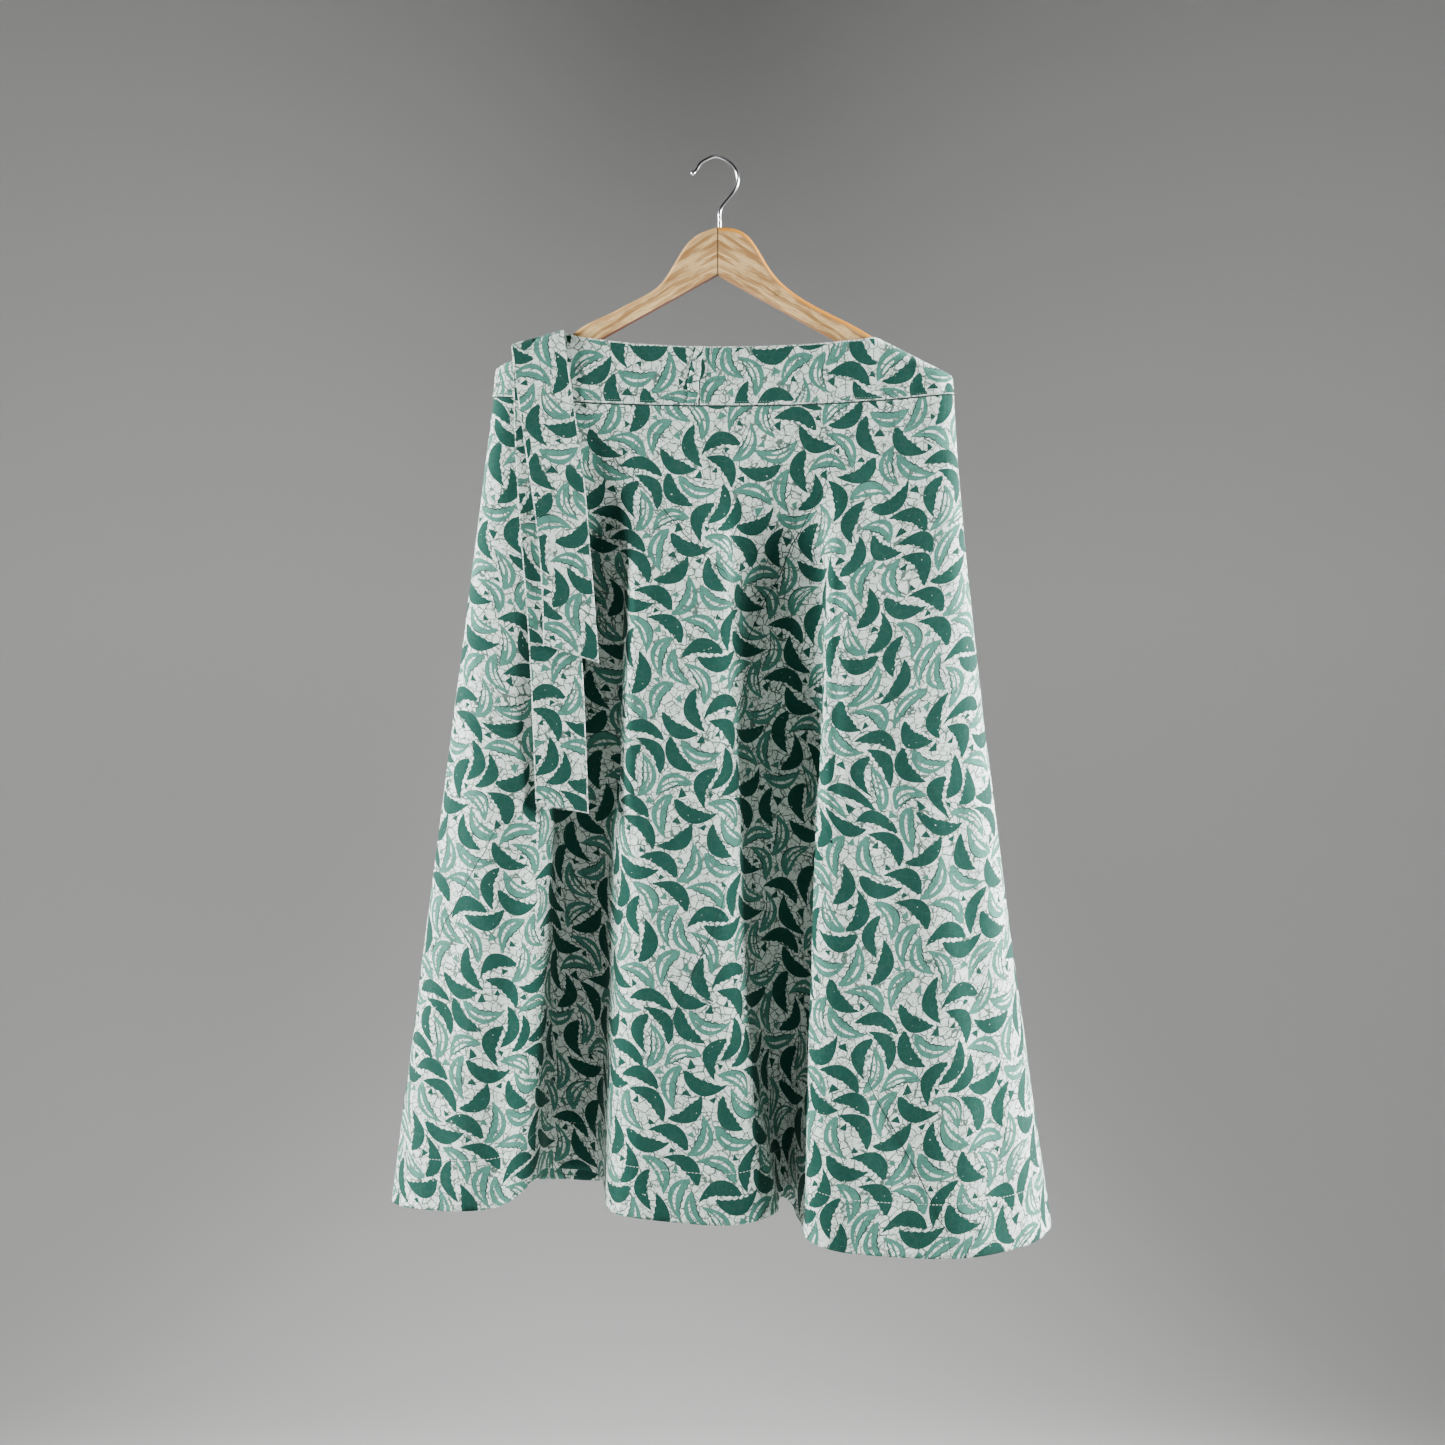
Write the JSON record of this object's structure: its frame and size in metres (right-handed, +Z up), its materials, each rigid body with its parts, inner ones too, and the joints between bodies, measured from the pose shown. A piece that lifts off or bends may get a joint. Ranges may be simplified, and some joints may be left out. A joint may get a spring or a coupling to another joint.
{
  "type": "wrap skirt on a wooden hanger",
  "caption": "Long flared wrap skirt in a green leaf print, with a waistband and ties, hung over the arms of a wooden hanger with a wire hook.",
  "frame": {"origin": "the point inside the top of the wire hook, where it rests on what holds it up", "axes": "+Z up, the skirt's front towards -Y, its width along X"},
  "size_m": [0.6606, 0.1984, 1.0823],
  "materials": {
    "leaf_print": "matt plain-weave cotton, pale ground with green leaves",
    "band_print": "the same cotton, doubled and topstitched",
    "tie_print": "the same cotton, pressed flat",
    "wood": "pale wood under satin lacquer",
    "wire": "bright chrome wire"
  },
  "bodies": {
    "root": {"skirt_front": "leaf_print", "skirt_under": "leaf_print", "skirt_back": "leaf_print", "band_front": "band_print", "band_under": "band_print", "band_back": "band_print", "band_lap": "band_print", "tie_front": "tie_print", "tie_rear": "tie_print", "hanger_left": "wood", "hanger_right": "wood", "hanger_hook": "wire"}
  },
  "joints": []
}
